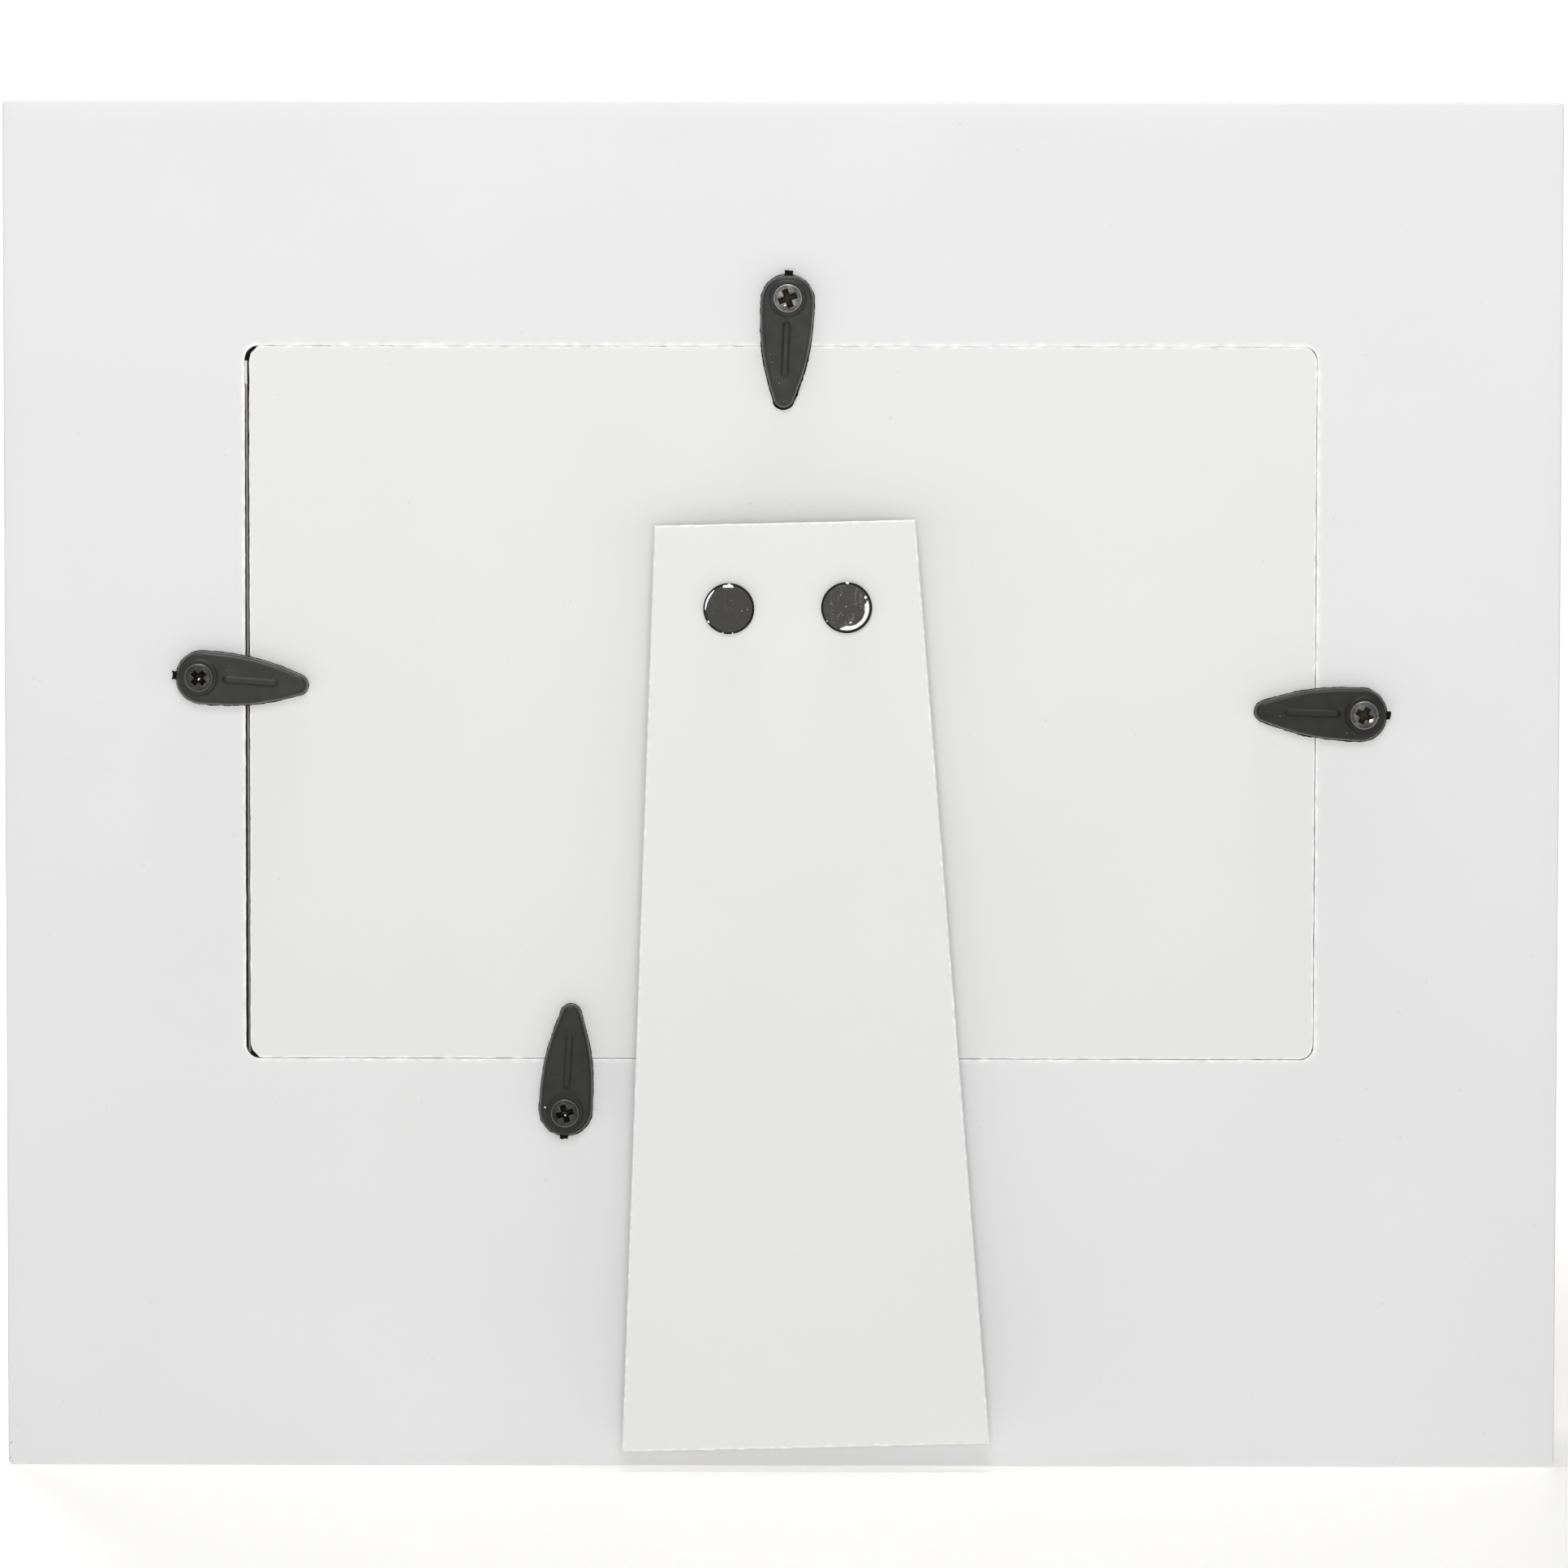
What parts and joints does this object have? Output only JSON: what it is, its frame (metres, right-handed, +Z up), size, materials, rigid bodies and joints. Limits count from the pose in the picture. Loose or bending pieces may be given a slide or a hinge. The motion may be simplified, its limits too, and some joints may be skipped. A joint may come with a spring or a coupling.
{
  "type": "photo frame",
  "caption": "Free-standing landscape photo frame with a routed board, back panel held by turn buttons, and a folding easel strut on a riveted hinge.",
  "frame": {"origin": "on the surface that the frame stands on, under the middle of its width and of its whole depth with the strut folded", "axes": "+X along the width, towards the left of the frame seen from behind; +Y out of its back; +Z up"},
  "size_m": [0.224, 0.022, 0.197],
  "materials": {
    "painted_board": "satin white paint on MDF",
    "faced_hardboard": "smooth white facing on hardboard",
    "clear_glass": "clear, polished",
    "photo_paper": "lustre photo paper",
    "grey_card": "uncoated grey board",
    "zinc_steel": "bright zinc plate",
    "black_enamel": "black enamel on steel, flaked",
    "black_plastic": "satin moulded",
    "black_steel": "black oxide"
  },
  "bodies": {
    "frame": {"frame_body": "painted_board", "glass_pane": "clear_glass", "photo_print": "photo_paper", "filler_card": "grey_card", "back_panel": "faced_hardboard", "hinge_panel_leaf": "zinc_steel", "hinge_pin": "zinc_steel", "panel_rivet_left": "zinc_steel", "panel_rivet_right": "zinc_steel", "button_screw_top": "black_steel", "button_screw_left": "black_steel", "button_screw_right": "black_steel", "button_screw_bottom": "black_steel"},
    "strut": {"easel_strut": "faced_hardboard", "hinge_strut_leaf": "zinc_steel", "strut_rivet_left": "black_enamel", "strut_rivet_right": "black_enamel"},
    "button_top": {"turn_button_top": "black_plastic"},
    "button_left": {"turn_button_left": "black_plastic"},
    "button_right": {"turn_button_right": "black_plastic"},
    "button_bottom": {"turn_button_bottom": "black_plastic"}
  },
  "joints": [
    {"name": "strut_hinge", "type": "hinge", "parent": "frame", "child": "strut", "pos_m": [-0.0007, 0.00575, 0.13091], "axis": [1, 0, 0], "range_deg": [0, 30]},
    {"name": "top_button_pivot", "type": "hinge", "parent": "frame", "child": "button_top", "pos_m": [-0.0007, 0.004, 0.1688], "axis": [0, 1, 0], "continuous": true},
    {"name": "left_button_pivot", "type": "hinge", "parent": "frame", "child": "button_left", "pos_m": [0.0838, 0.004, 0.1143], "axis": [0, 1, 0], "continuous": true},
    {"name": "right_button_pivot", "type": "hinge", "parent": "frame", "child": "button_right", "pos_m": [-0.0836, 0.004, 0.1092], "axis": [0, 1, 0], "continuous": true},
    {"name": "bottom_button_pivot", "type": "hinge", "parent": "frame", "child": "button_bottom", "pos_m": [0.0312, 0.004, 0.0516], "axis": [0, 1, 0], "continuous": true}
  ]
}
